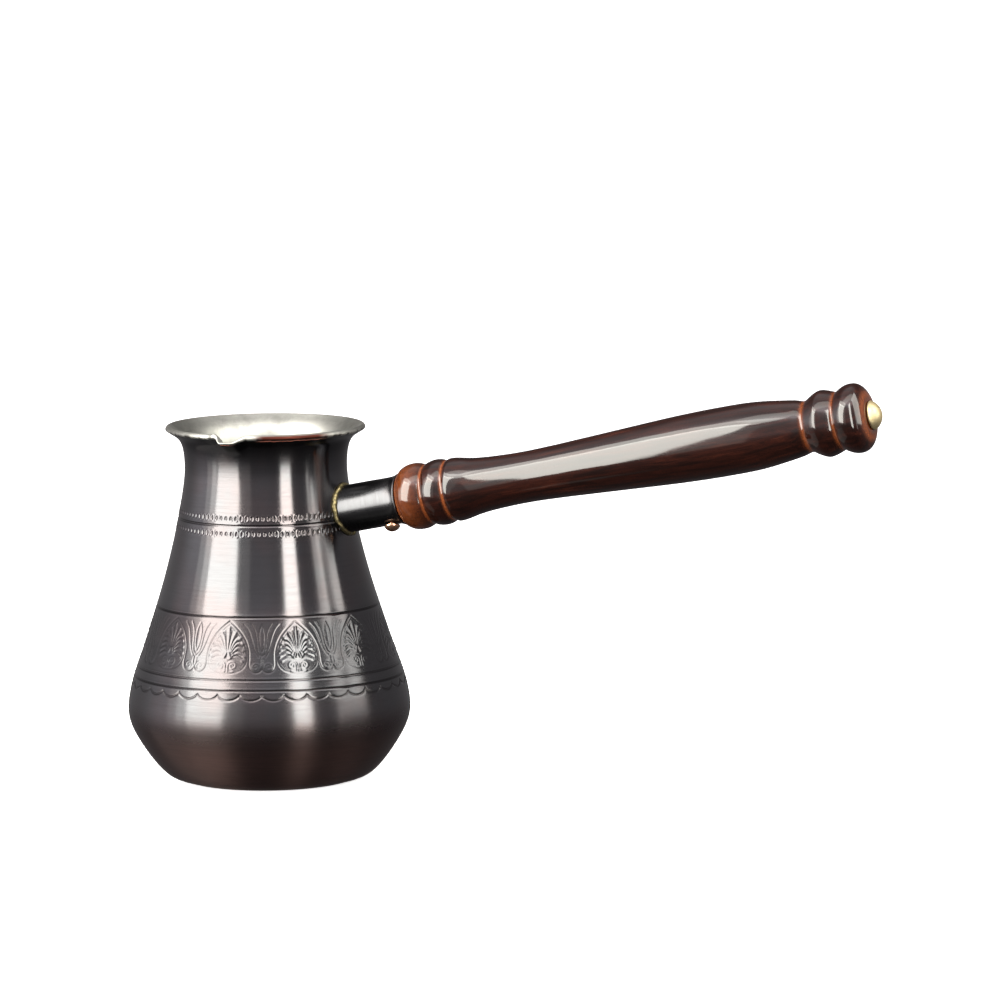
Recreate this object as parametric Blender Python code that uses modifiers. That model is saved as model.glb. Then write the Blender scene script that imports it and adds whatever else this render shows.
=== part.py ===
"""Turkish coffee pot (cezve): a spun copper pot, tinned inside, with a turned wooden handle.

Units are metres and +Z is up. The origin is the centre of the flat base, +Z runs up the pot's
axis, the handle points to +X and rises a little, and the pouring spout points to -Y.
"""

import math

import bmesh
import bpy
from mathutils import Vector

# Pot shell, as (radius, height) of its outer surface from the base up to the lip
BASE_RADIUS = 0.0288
POT_OUTLINE = [
    (BASE_RADIUS, 0.0),
    (0.0350, 0.0023),
    (0.0435, 0.0125),
    (0.0478, 0.0218),
    (0.0473, 0.0312),
    (0.0411, 0.0503),
    (0.0350, 0.0697),
    (0.0303, 0.0890),
    (0.0276, 0.1075),
    (0.0292, 0.1161),
    (0.0338, 0.1197),
]
POT_SPLINE_STEPS = 2
POT_SIDES = 48
WALL = 0.0012
GAP = 0.0003
TIN_THICKNESS = 0.0003

# Pouring spout: the lip is pinched outward and down, with a slight nip on each side.
# The nips' place and sharpness are in half widths of the spout.
SPOUT_AZIMUTH = math.radians(-90)
SPOUT_HALF_WIDTH = math.radians(7.5)
SPOUT_REACH = 0.0022
SPOUT_DROP = 0.0016
SPOUT_NIP = 0.0006
SPOUT_NIP_PLACE = 2.1
SPOUT_NIP_SHARPNESS = 1.6
SPOUT_FOOT = 0.1040
SPOUT_TOP = 0.1200

# Handle axis: it crosses the pot's axis at this height and rises at this angle.
# Distances called "along" run on it, outward from the pot's axis.
AXIS_HEIGHT = 0.0873
HANDLE_RISE = math.radians(11.4)

# Copper socket brazed to the wall
SOCKET_RADIUS = 0.0081
SOCKET_WALL = 0.0010
SOCKET_START = 0.0240
SOCKET_MOUTH = 0.0510
SOCKET_OUTLINE = [
    (SOCKET_RADIUS, SOCKET_START),
    (SOCKET_RADIUS, 0.0482),
    (0.0083, 0.0497),
    (0.0088, SOCKET_MOUTH),
]
SOCKET_SIDES = 28

# Braze bead round the socket's root
BRAZE_RADIUS = 0.0019
BRAZE_POINTS = 40
CROSSING_STEPS = 20

# Turned wooden grip, as (radius, along) from the shoulder at the socket to the end face
TENON_RADIUS = SOCKET_RADIUS - SOCKET_WALL - GAP
TENON_START = 0.0340
SHOULDER = SOCKET_MOUTH + 0.0007
END_FACE = 0.2202
GRIP_OUTLINE = [
    (0.0091, SHOULDER),
    (0.0106, 0.0536),
    (0.0113, 0.0570),
    (0.0109, 0.0594),
    (0.0100, 0.0614),
    (0.0108, 0.0636),
    (0.0112, 0.0660),
    (0.0109, 0.0680),
    (0.0102, 0.0694),
    (0.0107, 0.0712),
    (0.0103, 0.0744),
    (0.0093, 0.0800),
    (0.0086, 0.0935),
    (0.0088, 0.1050),
    (0.0099, 0.1280),
    (0.0110, 0.1490),
    (0.0115, 0.1690),
    (0.0112, 0.1810),
    (0.0103, 0.1890),
    (0.0087, 0.1986),
    (0.0104, 0.2020),
    (0.0112, 0.2046),
    (0.0105, 0.2076),
    (0.0097, 0.2097),
    (0.0108, 0.2120),
    (0.0116, 0.2150),
    (0.0110, 0.2174),
    (0.0088, 0.2192),
    (0.0060, END_FACE),
]
GRIP_SPLINE_STEPS = 2
GRIP_SIDES = 28

# Screw that holds the tenon, set from below and turned a little towards the spout's side
SCREW_ALONG = 0.0465
SCREW_SEAT = SOCKET_RADIUS + 0.0004
SCREW_TURN = math.radians(20)
SCREW_HEAD_RADIUS = 0.00265
SCREW_HEAD_HEIGHT = 0.0021
SCREW_SHANK_RADIUS = 0.0012
SCREW_SHANK_LENGTH = 0.0090
SCREW_SLOT_WIDTH = 0.0007
SCREW_SLOT_DEPTH = 0.0009
SCREW_SLOT_TURN = math.radians(35)

# Domed stud in the end of the grip
STUD_RADIUS = 0.00485
STUD_HEIGHT = 0.0034
STUD_EDGE = 0.0005
STUD_SHANK_RADIUS = 0.0014
STUD_SHANK_LENGTH = 0.0110
SMALL_SIDES = 24
DOME_STEPS = 5

# Finishes, as (colour, roughness, metallic)
COPPER = ((0.10, 0.095, 0.10), 0.32, 1.0)
TIN = ((0.60, 0.59, 0.55), 0.45, 1.0)
BRAZE_BRASS = ((0.42, 0.33, 0.17), 0.45, 1.0)
WOOD = ((0.060, 0.020, 0.012), 0.18, 0.0)
FASTENER_BRASS = ((0.72, 0.52, 0.24), 0.28, 1.0)
SHARP_ANGLE = math.radians(40)


def clear_scene():
    for obj in list(bpy.data.objects):
        bpy.data.objects.remove(obj)


def new_collection(name):
    collection = bpy.data.collections.new(name)
    bpy.context.scene.collection.children.link(collection)
    return collection


def new_object(name, mesh, collection, parent=None):
    obj = bpy.data.objects.new(name, mesh)
    collection.objects.link(obj)
    obj.parent = parent
    return obj


def make_material(name, color, roughness, metallic):
    material = bpy.data.materials.new(name)
    material.use_nodes = True
    shader = material.node_tree.nodes["Principled BSDF"]
    shader.inputs["Base Color"].default_value = (*color, 1.0)
    shader.inputs["Roughness"].default_value = roughness
    shader.inputs["Metallic"].default_value = metallic
    return material


def spline_through(points, steps):
    """Points of a centripetal Catmull-Rom curve through the given ones, steps to each stretch."""
    line = [Vector(p) for p in points]
    line = [2 * line[0] - line[1], *line, 2 * line[-1] - line[-2]]
    smooth = []
    for a, b, c, d in zip(line, line[1:], line[2:], line[3:]):
        t1 = (b - a).length ** 0.5
        t2 = t1 + (c - b).length ** 0.5
        t3 = t2 + (d - c).length ** 0.5
        for step in range(steps):
            t = t1 + (t2 - t1) * step / steps
            ab = a.lerp(b, t / t1)
            bc = b.lerp(c, (t - t1) / (t2 - t1))
            cd = c.lerp(d, (t - t2) / (t3 - t2))
            abc = ab.lerp(bc, t / t2)
            bcd = bc.lerp(cd, (t - t1) / (t3 - t1))
            smooth.append(abc.lerp(bcd, (t - t1) / (t2 - t1)))
    return smooth + [line[-2]]


def offset_line(line, distance):
    """The line moved sideways by a distance, with mitred corners. Positive is to its left."""
    sides = []
    for start, end in zip(line, line[1:]):
        run = (end - start).normalized()
        sides.append(Vector((-run.y, run.x)))
    moved = []
    for i, point in enumerate(line):
        before = sides[max(i - 1, 0)]
        after = sides[min(i, len(sides) - 1)]
        miter = (before + after).normalized()
        moved.append(point + miter * distance / miter.dot(after))
    return moved


def pot_line(inset):
    """The shell's line from the base centre to the lip, moved inward by inset."""
    line = [Vector((0.0, 0.0))] + spline_through(POT_OUTLINE, POT_SPLINE_STEPS)
    moved = offset_line(line, inset)
    moved[0].x = 0.0
    return moved


def profile_mesh(name, line):
    """An open (radius, height) line as mesh edges in the XZ plane, from its last point to its first."""
    mesh = bpy.data.meshes.new(name)
    points = [(p[0], 0.0, p[1]) for p in reversed(line)]
    edges = [(i, i + 1) for i in range(len(points) - 1)]
    mesh.from_pydata(points, edges, [])
    return mesh


def add_screw(obj, sides):
    screw = obj.modifiers.new("Turn", "SCREW")
    screw.steps = sides
    screw.render_steps = sides
    screw.use_merge_vertices = True
    screw.merge_threshold = 0.00001
    screw.use_smooth_shade = True


def add_solidify(obj, thickness):
    solidify = obj.modifiers.new("Thickness", "SOLIDIFY")
    solidify.thickness = thickness
    solidify.offset = -1.0
    solidify.use_even_offset = True


def apply_modifiers(obj):
    """Turns the object's modifiers into its own mesh."""
    bpy.context.view_layer.update()
    graph = bpy.context.evaluated_depsgraph_get()
    mesh = bpy.data.meshes.new_from_object(obj.evaluated_get(graph))
    obj.modifiers.clear()
    obj.data = mesh


def shade(obj, material):
    obj.data.materials.clear()
    obj.data.materials.append(material)
    obj.data.shade_smooth()
    obj.data.set_sharp_from_angle(angle=SHARP_ANGLE)


def smoothstep(low, high, value):
    share = min(max((value - low) / (high - low), 0.0), 1.0)
    return share * share * (3 - 2 * share)


def pinch_spout(mesh):
    """Bends the lip outward and down at the spout, and nips it in on both sides of it."""
    for vertex in mesh.vertices:
        point = vertex.co
        radius = math.hypot(point.x, point.y)
        if radius < BASE_RADIUS / 2 or point.z < SPOUT_FOOT:
            continue
        azimuth = math.atan2(point.y, point.x)
        turn = math.remainder(azimuth - SPOUT_AZIMUTH, 2 * math.pi) / SPOUT_HALF_WIDTH
        rise = smoothstep(SPOUT_FOOT, SPOUT_TOP, point.z)
        bulge = math.exp(-turn * turn)
        nip = math.exp(-((abs(turn) - SPOUT_NIP_PLACE) ** 2) * SPOUT_NIP_SHARPNESS)
        outward = (SPOUT_REACH * bulge - SPOUT_NIP * nip) * rise
        scale = (radius + outward) / radius
        vertex.co = (point.x * scale, point.y * scale, point.z - SPOUT_DROP * bulge * rise**3)


def turned_solid(name, line, sides, collection, parent=None):
    """A closed turned piece. Its line starts and ends on the axis."""
    obj = new_object(name, profile_mesh(name, line), collection, parent)
    add_screw(obj, sides)
    apply_modifiers(obj)
    return obj


def turned_shell(name, line, sides, thickness, collection, parent=None):
    """A sheet of even thickness inside a turned line."""
    obj = new_object(name, profile_mesh(name, line), collection, parent)
    add_screw(obj, sides)
    add_solidify(obj, thickness)
    apply_modifiers(obj)
    return obj


def cut(obj, cutter):
    boolean = obj.modifiers.new("Cut by " + cutter.name, "BOOLEAN")
    boolean.operation = "DIFFERENCE"
    boolean.object = cutter
    boolean.solver = "EXACT"


def hide_cutters(cutters):
    cutters.hide_render = True
    for obj in cutters.objects:
        obj.hide_render = True
        obj.display_type = "WIRE"


def make_pot_body(parts, material):
    pot = turned_shell("pot_body", pot_line(0.0), POT_SIDES, WALL, parts)
    pinch_spout(pot.data)
    shade(pot, material)
    return pot


def make_tin_lining(parts, material):
    lining = turned_shell("tin_lining", pot_line(WALL + GAP), POT_SIDES, TIN_THICKNESS, parts)
    pinch_spout(lining.data)
    shade(lining, material)
    return lining


def make_wall_cutter(cutters):
    """The pot's outer shape grown by the gap, which copes what is brazed to the wall."""
    line = pot_line(-GAP)
    line.append(Vector((0.0, line[-1].y)))
    return turned_solid("wall_cutter", line, POT_SIDES, cutters)


def make_handle_axis(parts):
    """An empty whose +Z runs outward along the handle."""
    axis = new_object("handle_axis", None, parts)
    axis.location = (0.0, 0.0, AXIS_HEIGHT)
    axis.rotation_euler = (0.0, math.pi / 2 - HANDLE_RISE, 0.0)
    return axis


def make_socket(parts, axis, material, wall_cutter, screw_hole):
    socket = turned_shell(
        "handle_socket", SOCKET_OUTLINE, SOCKET_SIDES, SOCKET_WALL, parts, axis
    )
    cut(socket, wall_cutter)
    cut(socket, screw_hole)
    shade(socket, material)
    return socket


def wall_radius(line, height):
    """The pot's radius at a height, on its (radius, height) line."""
    for low, high in zip(line, line[1:]):
        if low.y <= height <= high.y:
            return low.x + (high.x - low.x) * (height - low.y) / (high.y - low.y)
    raise ValueError("the height is outside the pot")


def wall_crossing(line, across):
    """Where a line parallel to the handle axis, at (x, y) across it, meets the pot's wall."""
    along = SOCKET_START
    for _ in range(CROSSING_STEPS):
        x = along * math.cos(HANDLE_RISE) + across.x * math.sin(HANDLE_RISE)
        z = AXIS_HEIGHT + along * math.sin(HANDLE_RISE) - across.x * math.cos(HANDLE_RISE)
        along += wall_radius(line, z) - math.hypot(x, across.y)
    return Vector((across.x, across.y, along))


def make_braze(parts, axis, material, wall_cutter, tube_cutter):
    """A bead laid round the socket's root, on the line where the tube meets the wall."""
    curve = bpy.data.curves.new("braze_line", "CURVE")
    curve.dimensions = "3D"
    curve.bevel_depth = BRAZE_RADIUS
    curve.bevel_resolution = 2
    spline = curve.splines.new("POLY")
    spline.points.add(BRAZE_POINTS - 1)
    spline.use_cyclic_u = True
    wall = pot_line(0.0)
    for i in range(BRAZE_POINTS):
        angle = 2 * math.pi * i / BRAZE_POINTS
        across = SOCKET_RADIUS * Vector((math.cos(angle), math.sin(angle)))
        spline.points[i].co = (*wall_crossing(wall, across), 1.0)
    guide = new_object("braze_line", curve, parts, axis)
    bpy.context.view_layer.update()
    graph = bpy.context.evaluated_depsgraph_get()
    mesh = bpy.data.meshes.new_from_object(guide.evaluated_get(graph))
    bpy.data.objects.remove(guide)
    bead = new_object("braze_fillet", mesh, parts, axis)
    cut(bead, wall_cutter)
    cut(bead, tube_cutter)
    shade(bead, material)
    return bead


def add_cylinder(name, radius, low, high, collection, parent, sides=SMALL_SIDES):
    """A cylinder on its parent's Z axis between two heights."""
    bm = bmesh.new()
    bmesh.ops.create_cone(
        bm, cap_ends=True, segments=sides, radius1=radius, radius2=radius, depth=high - low
    )
    bmesh.ops.translate(bm, verts=bm.verts, vec=(0, 0, (low + high) / 2))
    mesh = bpy.data.meshes.new(name)
    bm.to_mesh(mesh)
    bm.free()
    return new_object(name, mesh, collection, parent)


def dome_line(radius, height, base):
    """A spherical cap's (radius, height) line from its edge to its top on the axis."""
    sphere = (radius * radius + height * height) / (2 * height)
    widest = math.asin(min(radius / sphere, 1.0))
    if height > sphere:
        widest = math.pi - widest
    centre = base + height - sphere
    line = []
    for step in range(DOME_STEPS + 1):
        angle = widest * (1 - step / DOME_STEPS)
        line.append(Vector((sphere * math.sin(angle), centre + sphere * math.cos(angle))))
    line[-1].x = 0.0
    return line


def make_grip(parts, axis, material, screw_hole, stud_hole):
    """The turned handle and the tenon that fills its socket, one piece of wood."""
    line = [
        Vector((0.0, TENON_START)),
        Vector((TENON_RADIUS - 2 * GAP, TENON_START)),
        Vector((TENON_RADIUS, TENON_START + 3 * GAP)),
        Vector((TENON_RADIUS, SHOULDER)),
        *spline_through(GRIP_OUTLINE, GRIP_SPLINE_STEPS),
        Vector((0.0, END_FACE)),
    ]
    grip = turned_solid("handle_grip", line, GRIP_SIDES, parts, axis)
    cut(grip, screw_hole)
    cut(grip, stud_hole)
    shade(grip, material)
    return grip


def make_screw_axis(parts, axis):
    """An empty on the handle axis whose +Z runs out through the screw's head."""
    screw_axis = new_object("screw_axis", None, parts, axis)
    screw_axis.location = (0.0, 0.0, SCREW_ALONG)
    screw_axis.rotation_euler = (0.0, math.pi / 2, -SCREW_TURN)
    return screw_axis


def make_screw(parts, cutters, screw_axis, material):
    seat = SCREW_SEAT
    line = [
        Vector((0.0, seat - SCREW_SHANK_LENGTH)),
        Vector((SCREW_SHANK_RADIUS, seat - SCREW_SHANK_LENGTH + SCREW_SHANK_RADIUS)),
        Vector((SCREW_SHANK_RADIUS, seat)),
        *dome_line(SCREW_HEAD_RADIUS, SCREW_HEAD_HEIGHT, seat),
    ]
    screw = turned_solid("handle_screw", line, SMALL_SIDES, parts, screw_axis)
    bm = bmesh.new()
    bmesh.ops.create_cube(bm, size=1.0)
    slot_size = (SCREW_SLOT_WIDTH, 3 * SCREW_HEAD_RADIUS, 2 * SCREW_SLOT_DEPTH)
    bmesh.ops.scale(bm, verts=bm.verts, vec=slot_size)
    bmesh.ops.translate(bm, verts=bm.verts, vec=(0, 0, seat + SCREW_HEAD_HEIGHT))
    mesh = bpy.data.meshes.new("slot_cutter")
    bm.to_mesh(mesh)
    bm.free()
    slot = new_object("slot_cutter", mesh, cutters, screw_axis)
    slot.rotation_euler = (0.0, 0.0, SCREW_SLOT_TURN)
    cut(screw, slot)
    shade(screw, material)
    return screw


def make_stud(parts, axis, material):
    seat = END_FACE + GAP
    line = [
        Vector((0.0, seat - STUD_SHANK_LENGTH)),
        Vector((STUD_SHANK_RADIUS, seat - STUD_SHANK_LENGTH + STUD_SHANK_RADIUS)),
        Vector((STUD_SHANK_RADIUS, seat)),
        Vector((STUD_RADIUS, seat)),
        *dome_line(STUD_RADIUS, STUD_HEIGHT - STUD_EDGE, seat + STUD_EDGE),
    ]
    stud = turned_solid("end_stud", line, SMALL_SIDES, parts, axis)
    shade(stud, material)
    return stud


def build():
    clear_scene()
    parts = new_collection("turkish_coffee_pot")
    cutters = new_collection("cutters")

    copper = make_material("patinated_copper", *COPPER)
    tin = make_material("tin", *TIN)
    braze_brass = make_material("braze_brass", *BRAZE_BRASS)
    wood = make_material("lacquered_wood", *WOOD)
    brass = make_material("fastener_brass", *FASTENER_BRASS)

    make_pot_body(parts, copper)
    make_tin_lining(parts, tin)

    axis = make_handle_axis(parts)
    screw_axis = make_screw_axis(parts, axis)
    wall_cutter = make_wall_cutter(cutters)
    tube_cutter = add_cylinder(
        "tube_cutter", SOCKET_RADIUS + GAP, 0.0, SOCKET_MOUTH, cutters, axis, SOCKET_SIDES
    )
    screw_hole = add_cylinder(
        "screw_hole",
        SCREW_SHANK_RADIUS + GAP,
        SOCKET_RADIUS - SCREW_SHANK_LENGTH - GAP,
        2 * SOCKET_RADIUS,
        cutters,
        screw_axis,
    )
    stud_hole = add_cylinder(
        "stud_hole",
        STUD_SHANK_RADIUS + GAP,
        END_FACE - STUD_SHANK_LENGTH - GAP,
        END_FACE + STUD_HEIGHT,
        cutters,
        axis,
    )

    make_socket(parts, axis, copper, wall_cutter, screw_hole)
    make_braze(parts, axis, braze_brass, wall_cutter, tube_cutter)
    make_grip(parts, axis, wood, screw_hole, stud_hole)
    make_screw(parts, cutters, screw_axis, brass)
    make_stud(parts, axis, brass)
    hide_cutters(cutters)


build()
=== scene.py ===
"""Looks of the turkish coffee pot: skins for the copper, tin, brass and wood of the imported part.

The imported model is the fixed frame: origin at the centre of the base, +Z up the pot's axis, the
handle towards +X and the pouring spout towards -Y. Lengths are metres unless a name ends in _MM,
and the ornament is drawn in millimetres.
"""

import math

import bmesh
import bpy
import numpy as np
from mathutils import Matrix, Vector


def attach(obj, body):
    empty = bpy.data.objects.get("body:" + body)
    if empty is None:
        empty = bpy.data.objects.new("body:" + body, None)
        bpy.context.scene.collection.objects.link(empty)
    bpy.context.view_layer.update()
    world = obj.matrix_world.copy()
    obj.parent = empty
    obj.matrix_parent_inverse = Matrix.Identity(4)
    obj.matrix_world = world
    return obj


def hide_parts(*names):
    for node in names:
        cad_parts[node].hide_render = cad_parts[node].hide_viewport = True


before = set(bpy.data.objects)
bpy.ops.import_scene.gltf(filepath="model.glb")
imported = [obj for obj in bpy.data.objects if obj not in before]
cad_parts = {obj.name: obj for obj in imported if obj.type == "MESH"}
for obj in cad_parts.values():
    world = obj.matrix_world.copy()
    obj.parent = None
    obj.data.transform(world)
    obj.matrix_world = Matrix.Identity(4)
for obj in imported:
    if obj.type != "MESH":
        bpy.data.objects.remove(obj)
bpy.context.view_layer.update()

MM = 0.001
BODY = "root"
RNG_SEED = 7

# Pot shell, as (radius, height) of its outer surface from the base up to the lip
BASE_RADIUS = 0.0288
BASE_CAP_RADIUS = BASE_RADIUS - 0.004
POT_OUTLINE = [
    (BASE_RADIUS, 0.0), (0.0350, 0.0023), (0.0435, 0.0125), (0.0478, 0.0218), (0.0473, 0.0312),
    (0.0411, 0.0503), (0.0350, 0.0697), (0.0303, 0.0890), (0.0276, 0.1075), (0.0292, 0.1161),
    (0.0338, 0.1197),
]
WALL = 0.0012
GAP = 0.0003
TIN_THICKNESS = 0.0003
LIP_THICKNESS = WALL + GAP + TIN_THICKNESS
RIM_COVER = 0.0004
TIN_FLOOR_RADIUS = 0.004
TIN_FLOOR_BEND = 0.018
TIN_FOOT_ARC = 0.0035
TIN_BACK_DROP = 0.002
TIN_ROW = 0.0022
TIN_THROAT_ROW = 0.0008
TIN_BEAD = 0.0006
TIN_SKIRT_LIFT = 0.00002
TIN_EDGE_ROWS = 7
TIN_WORN_ROWS = 13
TIN_COLUMNS = 440
THROAT_HEIGHT = 0.100

# Tin runs this far down outside the lip, and the copper below it is rubbed bare this much further
TIN_EDGE_MM = 0.75
TIN_RAGGED_MM = 0.25
RIM_WEAR_MM = 0.8
SPOUT_WEAR_MM = 1.7
SPOUT_WEAR_TURN = math.radians(5)

# Pouring spout: the lip is pinched outward and down, steeply on its left and gently on its right.
# SPOUT_LEFT, SPOUT_RIGHT and SPOUT_FOLD are degrees round from its middle.
SPOUT_TURN = math.radians(-90)
SPOUT_LEFT = (-7.2, -3.4)
SPOUT_RIGHT = (3.0, 12.0)
SPOUT_FOLD = -8.6
SPOUT_FOLD_WIDTH = 1.6
SPOUT_REACH = 0.0014
SPOUT_DROP = 0.0014
SPOUT_TROUGH = 0.0012
SPOUT_LIFT = 0.0003
SPOUT_FOOT = 0.1090
SPOUT_TOP = 0.1200

# Ornament. The frieze repeats round the pot, and every wall piece shares its columns.
# The rows of mesh are FRIEZE_ROW apart in the frieze and PLAIN_ROW apart where the wall is plain.
REPEATS = 11
COLUMNS_PER_REPEAT = 112
COLUMNS = REPEATS * COLUMNS_PER_REPEAT
PALMETTE_TURN = math.radians(-53.7)
FRIEZE_PITCH_MM = 22.9
FRIEZE_BASE = 0.0423
FRIEZE_DEPTH = 0.40  # share of the drawn heights that is pressed into the wall
FRIEZE_ROW = 0.00022
FRIEZE_TOP_GROOVE = 0.0602
FRIEZE_LOW_GROOVE = 0.0399
BELLY_GROOVE = 0.0365
NECK_GROOVE = 0.0901
SCALLOP_ROW = 0.00023
PLAIN_ROW = 0.0010
INNER_ROW = 0.004
INNER_FOOT_ARC = 0.002
GROOVE_DEPTH_MM = 0.20
GROOVE_WIDTH_MM = 0.27
DIMPLE_ROWS = (0.0874, 0.0925)
DIMPLES = 100
DIMPLE_WIDTH_MM = 0.52
DIMPLE_HEIGHT_MM = 0.78
DIMPLE_DEPTH_MM = 0.14
SCALLOPS = 38
SCALLOP_TURN = math.radians(-70.1)
SCALLOP_CUSP = 0.0351
SCALLOP_FOOT = 0.0325
SCALLOP_DROP_MM = 1.7

# The stretches of the shoulder, as (the height where one starts, how far apart its rows are)
SHOULDER_STRETCHES = (
    (FRIEZE_TOP_GROOVE, 0.0002), (0.0612, PLAIN_ROW), (0.0855, 0.00022), (0.0942, PLAIN_ROW),
    (0.1130, 0.0003),
)

# Handle axis: it crosses the pot's axis at this height and rises at this angle.
# Distances called "along" run on it, outward from the pot's axis.
AXIS_HEIGHT = 0.0873
HANDLE_RISE = math.radians(11.4)
SOCKET_RADIUS = 0.0081
SOCKET_WALL = 0.0010
SOCKET_MOUTH = 0.0510
SOCKET_OUTLINE = [
    (SOCKET_RADIUS, 0.0300), (SOCKET_RADIUS, 0.0400), (SOCKET_RADIUS, 0.0480), (0.0083, 0.0497),
    (0.0088, SOCKET_MOUTH),
]
SOCKET_SIDES = 120
SOCKET_SUNK = 0.0004
SOCKET_LIP = 0.00025
BRAZE_RADIUS = 0.00082
BRAZE_MIDDLE = (SOCKET_RADIUS + 0.00025, 0.0002)  # radius, and how far out from the wall
BRAZE_COLUMNS = 240
BRAZE_SIDES = 20

TENON_RADIUS = SOCKET_RADIUS - SOCKET_WALL - GAP
TENON_START = 0.0340
SHOULDER = SOCKET_MOUTH + 0.0007
END_FACE = 0.2202
GRIP_OUTLINE = [
    (0.0088, SHOULDER), (0.0097, 0.0524), (0.0106, 0.0537), (0.01115, 0.0555),
    (0.01128, 0.0570), (0.01115, 0.0586), (0.0106, 0.0602), (0.0100, 0.0614), (0.0107, 0.0627),
    (0.0111, 0.0644), (0.0112, 0.0658), (0.0109, 0.0676), (0.0102, 0.0692), (0.0107, 0.0706),
    (0.0107, 0.0718), (0.0103, 0.0744), (0.0096, 0.0780), (0.0091, 0.0825), (0.0087, 0.0900),
    (0.0086, 0.0971), (0.0089, 0.1070), (0.0095, 0.1189), (0.0104, 0.1362), (0.0112, 0.1535),
    (0.0115, 0.1685), (0.0113, 0.1800), (0.0105, 0.1877), (0.0094, 0.1950), (0.0086, 0.1986),
    (0.0095, 0.2004), (0.0106, 0.2024), (0.0112, 0.2043), (0.0107, 0.2068), (0.0100, 0.2087),
    (0.0096, 0.2097), (0.0103, 0.2109), (0.0113, 0.2130), (0.0116, 0.2150), (0.0113, 0.2168),
    (0.0103, 0.2182), (0.0088, 0.2192), (0.0072, 0.2198), (0.0060, END_FACE),
]
GRIP_CAP_RADIUS = 0.0040
GRIP_SIDES = 144
GRIP_ROW = 0.0005

# Turned grooves and rims that show lighter wood, as (along in mm, width in mm, strength)
GRIP_BARE = (
    (51.9, 0.8, 1.0), (61.4, 0.5, 0.7), (69.3, 0.5, 0.7), (198.8, 0.8, 0.5), (209.8, 0.6, 0.5),
    (219.8, 0.5, 0.45), (55.0, 5.0, 0.34),
)

SCREW_ALONG = 0.0465
SCREW_SEAT = SOCKET_RADIUS + 0.0004
SCREW_TURN = math.radians(20)
SCREW_HEAD_RADIUS = 0.00265
SCREW_HEAD_HEIGHT = 0.0021
SCREW_RIM = 0.0005
SCREW_SHANK_RADIUS = 0.0012
SCREW_SHANK = 0.0085
SCREW_SLOT_WIDTH = 0.0007
SCREW_SLOT_DEPTH = 0.0009
SCREW_SLOT_TURN = math.radians(35)
SCREW_SHARP_ANGLE = math.radians(40)
STUD_RADIUS = 0.00485
STUD_HEIGHT = 0.0034
STUD_EDGE = 0.0005
STUD_SHANK_RADIUS = 0.0014
STUD_SHANK = 0.010
FASTENER_SIDES = 72

# Camera, as seen from the front left of the handle
VIEW_CENTRE = Vector((0.0, 0.0, 0.060))
VIEW_AZIMUTH = math.radians(23.02)
VIEW_ELEVATION = math.radians(8.045)
VIEW_ROLL = math.radians(0.9)
VIEW_DISTANCE = 2.4
VIEW_WIDTH = 0.3406
VIEW_RIGHT = 0.0790
VIEW_UP = 0.0350

# Studio: each line is (place, shade) from 0 opposite an axis to 1 along it
STUDIO_COLOR = (1.0, 0.955, 0.985)
SHADE_SCALE = 10.0
LEFT_TURN = math.radians(92)
BEHIND_ELEVATION = math.radians(60)
BACK_TO_FRONT = ((0.0, 0.6), (0.12, 0.8), (0.35, 1.1), (0.6, 1.0), (1.0, 1.15))
OVERHEAD_BEHIND = ((0.0, 1.0), (0.74, 1.0), (0.82, 0.55), (0.88, 0.28), (1.0, 0.22))
RIGHT_TO_LEFT = (
    (0.0, 0.26), (0.35, 0.31), (0.5, 0.38), (0.75, 0.38), (0.85, 0.45), (0.90, 0.53), (0.94, 0.68),
    (0.97, 0.9), (1.0, 1.25),
)
DOWN_TO_UP = (
    (0.0, 0.12), (0.15, 0.20), (0.35, 0.36), (0.44, 0.66), (0.48, 1.0), (0.70, 1.3), (0.82, 2.5),
    (0.88, 6.5), (0.93, 10.0), (1.0, 10.0),
)
SOFTBOX_COLOR = (1.0, 0.99, 0.91)
# Name, azimuth from the camera's, elevation, (width, height), radiance and, where it differs, the
# distance. Angles are in degrees as the pot sees them.
SOFTBOX_DISTANCE = 0.7
SOFTBOXES = (
    ("left_far", -85.5, 20, (9, 60), 1.4),
    ("left_outer", -76.5, 20, (9, 60), 4.4),
    ("left", -54.6, 21, (34.5, 58), 12.2),
    ("left_top", -55, 55, (42, 14), 6.0),
    ("left_spill", -29, 15, (15, 50), 0.6),
    ("left_low", -90, -48, (60, 40), 0.25),
    ("right", 26.8, 20, (15.2, 60), 13.0),
    ("right_edge", 59, 18, (4, 46), 3.0),
    ("right_wall", 74.5, 28, (25, 46), 5.6),
    ("overhead", 10, 72, (62, 22), 2.5, 1.0),
)
LIT_CENTRE = Vector((0.0, 0.0, 0.070))
FLOOR_SIZE = 15.0
FLOOR_HEIGHT = -0.0001


# ---------- lines


def spline_through(points, steps):
    """Points of a centripetal Catmull-Rom curve through the given ones, steps to each stretch."""
    line = np.array(points, float)
    line = np.vstack([2 * line[0] - line[1], line, 2 * line[-1] - line[-2]])
    share = np.arange(steps)[:, None] / steps
    smooth = []
    for a, b, c, d in zip(line, line[1:], line[2:], line[3:]):
        t1 = np.linalg.norm(b - a) ** 0.5
        t2 = t1 + np.linalg.norm(c - b) ** 0.5
        t3 = t2 + np.linalg.norm(d - c) ** 0.5
        t = t1 + (t2 - t1) * share
        ab = a + (b - a) * t / t1
        bc = b + (c - b) * (t - t1) / (t2 - t1)
        cd = c + (d - c) * (t - t2) / (t3 - t2)
        abc = ab + (bc - ab) * t / t2
        bcd = bc + (cd - bc) * (t - t1) / (t3 - t1)
        smooth.append(abc + (bcd - abc) * (t - t1) / (t2 - t1))
    return np.vstack([*smooth, line[-2]])


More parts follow.
